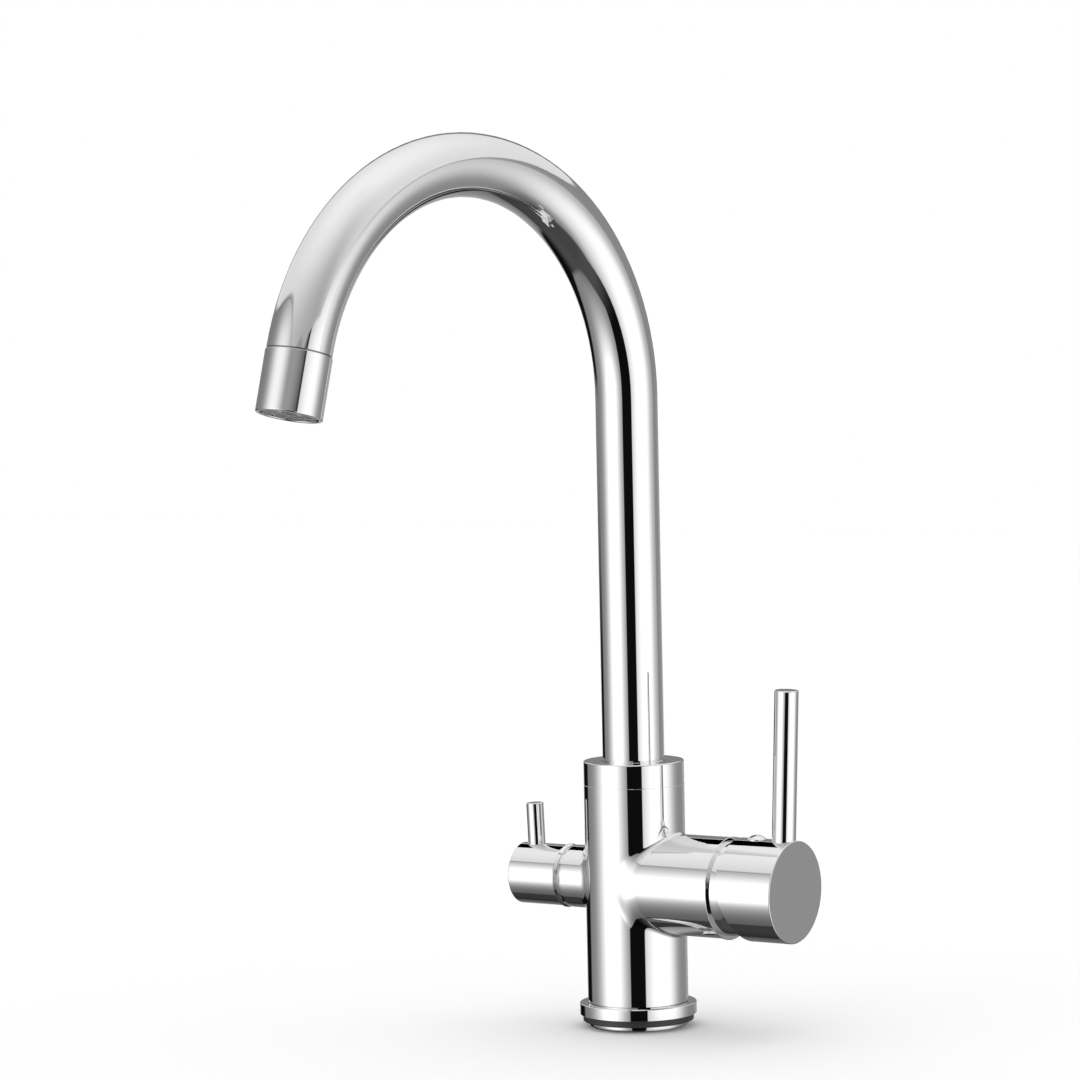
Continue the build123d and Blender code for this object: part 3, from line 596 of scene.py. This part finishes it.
def make_body():
    old = nodes["body_casting"].data
    co = np.empty(len(old.vertices) * 3)
    old.vertices.foreach_get("co", co)
    co = np.round(co.reshape(-1, 3) * 1000.0, 5)
    place = {}
    same = np.array([place.setdefault(tuple(c), len(place)) for c in co])
    pts = [np.array(c) for c in place]
    for c in pts:
        r = math.hypot(c[1], c[2] - VALVE_Z)
        if c[0] < -34.1 and r > 13.9:
            c[1] *= 1.0 - SHOULDER / r
            c[2] = VALVE_Z + (c[2] - VALVE_Z) * (1.0 - SHOULDER / r)
    nrm = np.empty(len(old.loops) * 3)
    old.corner_normals.foreach_get("vector", nrm)
    nrm = nrm.reshape(-1, 3)
    faces = []
    for p in old.polygons:
        ids = [int(same[v]) for v in p.vertices]
        if len(set(ids)) == len(ids):
            faces.append((ids, [nrm[i] for i in p.loop_indices]))

    # the old skin: spreads from the front of the body over every edge flatter than 24 degrees
    edge = {}
    face_n, seed = [], None
    for k, (ids, _) in enumerate(faces):
        a, b, c = (pts[i] for i in ids[:3])
        n = np.cross(b - a, c - a)
        face_n.append(n / max(np.linalg.norm(n), 1e-12))
        m = (a + b + c) / 3.0
        if seed is None and m[1] < -20.0 and 90.0 < m[2] < 100.0 and abs(math.hypot(m[0], m[1]) - BODY_R) < 0.1:
            seed = k
        for i in range(len(ids)):
            edge.setdefault(frozenset((ids[i], ids[(i + 1) % len(ids)])), []).append(k)
    skin, todo = {seed}, [seed]
    while todo:
        k = todo.pop()
        ids = faces[k][0]
        for i in range(len(ids)):
            for o in edge[frozenset((ids[i], ids[(i + 1) % len(ids)]))]:
                if o not in skin and np.dot(face_n[k], face_n[o]) > math.cos(math.radians(24.0)):
                    skin.add(o)
                    todo.append(o)
    rim = {}
    for e, fs in edge.items():
        if sum(f in skin for f in fs) == 1:
            a, b = tuple(e)
            rim.setdefault(a, []).append(b)
            rim.setdefault(b, []).append(a)
    rims = []
    while rim:
        a = next(iter(rim))
        loop, prev = [a], None
        while True:
            nxt = [b for b in rim[loop[-1]] if b != prev]
            prev = loop[-1]
            if nxt[0] == loop[0]:
                break
            loop.append(nxt[0])
        for a in loop:
            del rim[a]
        rims.append(loop)
    top = max(rims, key=lambda r: pts[r[0]][2] + pts[r[1]][2])
    foot = min(rims, key=lambda r: pts[r[0]][2] + pts[r[1]][2])
    arm_end = max(rims, key=lambda r: pts[r[0]][0] + pts[r[len(r) // 2]][0])
    boss_end = min(rims, key=lambda r: pts[r[0]][0] + pts[r[len(r) // 2]][0])

    new, tri = [], []            # new points and triangles, after the old points

    def put(ps):
        k = len(pts) + len(new)
        new.extend(ps)
        return list(range(k, k + len(ps)))

    # seam of the arm, two arcs that meet at the front and the back
    def seam_point(a, sign):
        r = np.full(a.shape, BODY_R)
        for _ in range(12):
            p = upright(a, ARM_Z + sign * r * np.cos(a), r)
            r = BODY_R + 0.25 * arm_width(p)
        return upright(a, ARM_Z + sign * r * np.cos(a), r)

    n = 190
    t = np.linspace(0.0, 1.0, n + 1)
    a = np.radians(-90.0 + 180.0 * t)
    upper = seam_point(a, 1.0)
    lower = seam_point(a, -1.0)
    ring_arm = np.concatenate((upper, lower[1:-1][::-1]))          # front, over the top, back, under
    id_arm = put(ring_arm)
    # seam of the boss
    a = np.radians(np.arange(0.0, 360.0, 2.0))
    rb, rr = BOSS_R + 0.65, BODY_R + 0.65
    y = -rb * np.cos(a)
    ring_boss = np.stack((-np.sqrt(rr * rr - y * y), y, VALVE_Z + rb * np.sin(a)), -1)
    id_boss = put(ring_boss)

    def turn_of(p, lying_z=None):
        if lying_z is None:
            return np.arctan2(p[:, 1], p[:, 0])
        return np.arctan2(p[:, 2] - lying_z, -p[:, 1])

    def build(at, r0, cut, rim_lo, rim_hi, holes, seams, lying_z, step_s):
        """one unrolled patch between two closed rims, each (ids, points); holes the same"""
        def unroll(item, first=None):
            ids, ps = item
            a = turn_of(ps, lying_z)
            k = int(np.argmin(np.abs((a - cut + math.pi) % (2 * math.pi) - math.pi))) if first is None else first
            order = list(range(k, len(ids))) + list(range(0, k))
            a = a[order]
            if ((a[1] - a[0] + math.pi) % (2 * math.pi)) - math.pi < 0:
                order = [order[0]] + order[1:][::-1]
                a = turn_of(ps, lying_z)[order]
            a = np.unwrap(a)
            s = ps[order][:, 0] if lying_z is not None else ps[order][:, 2]
            ids = [ids[i] for i in order]
            return ids, a, s
        ia, aa, sa = unroll(rim_lo)
        ib, ab, sb = unroll(rim_hi)
        ab = ab + 2 * math.pi * round((aa[0] - ab[0]) / (2 * math.pi))
        m = max(4, int(abs(sb[0] - sa[0]) / 2.2))
        w = np.linspace(0.0, 1.0, m + 1)[1:-1]
        ca, cs = aa[0] + (ab[0] - aa[0]) * w, sa[0] + (sb[0] - sa[0]) * w
        ic = put(skin_at(at, ca, cs, r0))
        ids = ia + [ia[0]] + ic + [ib[0]] + ib[::-1] + ic[::-1]
        ang = np.concatenate((aa, [aa[0] + 2 * math.pi], ca + 2 * math.pi, [ab[0] + 2 * math.pi], ab[::-1], ca[::-1]))
        s = np.concatenate((sa, [sa[0]], cs, [sb[0]], sb[::-1], cs[::-1]))
        outer = np.stack((ang * r0, s), -1)
        loops = []
        for h in holes:
            hi, ha, hs = h[0], np.unwrap(turn_of(h[1], lying_z)), h[1][:, 2]
            mid = 0.5 * (ha.min() + ha.max())
            ha = ha + 2 * math.pi * round((0.5 * (aa[0] + aa[0] + 2 * math.pi) - mid) / (2 * math.pi))
            loops.append(np.stack((ha * r0, hs), -1))
            ids = ids + hi
        near = []
        for kind in seams:
            near.append(outer[:len(ia) + 1] if kind == "lo" else loops[kind])
        extra, t = fill(outer, loops, near, 1.6, step_s)
        ids = ids + put(skin_at(at, extra[:, 0] / r0, extra[:, 1], r0))
        every = pts + new
        for f in t:
            f = [ids[v] for v in f]
            if len(set(f)) < 3:
                continue
            p, q, r = (every[v] for v in f)
            c = (p + q + r) / 3.0
            if np.dot(np.cross(q - p, r - p), slope(c)) < 0.0:
                f = f[::-1]
            tri.append(f)

    def item(ids):
        return ids, np.array([pts[i] for i in ids])

    build(upright, BODY_R, math.radians(118.0), item(foot), item(top),
          [(id_arm, ring_arm), (id_boss, ring_boss)], [0, 1], None, 6.0)
    build(lying(ARM_Z), BODY_R, math.pi, (id_arm, ring_arm), item(arm_end), [], ["lo"], ARM_Z, 4.0)
    build(lying(VALVE_Z), BOSS_R, math.pi, (id_boss, ring_boss), item(boss_end), [], ["lo"], VALVE_Z, 3.0)

    every = np.array(pts + new)
    new_n = slope(every)
    polys, normals = [], []
    for k, (ids, ns) in enumerate(faces):
        if k not in skin:
            polys.append(ids)
            normals.extend(ns)
    for f in tri:
        polys.append(f)
        normals.extend(new_n[i] for i in f)
    used = sorted({i for f in polys for i in f})
    new_id = {i: k for k, i in enumerate(used)}
    me = bpy.data.meshes.new("body_skin")
    me.from_pydata([tuple(every[i] / 1000.0) for i in used], [], [[new_id[i] for i in f] for f in polys])
    me.shade_smooth()
    me.normals_split_custom_set([tuple(float(c) for c in n) for n in normals])
    ob = bpy.data.objects.new("body_skin", me)
    scene.collection.objects.link(ob)
    me.materials.append(made["chrome"])
    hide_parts("body_casting")
    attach(ob, "tap_body")
    return ob


make_body()
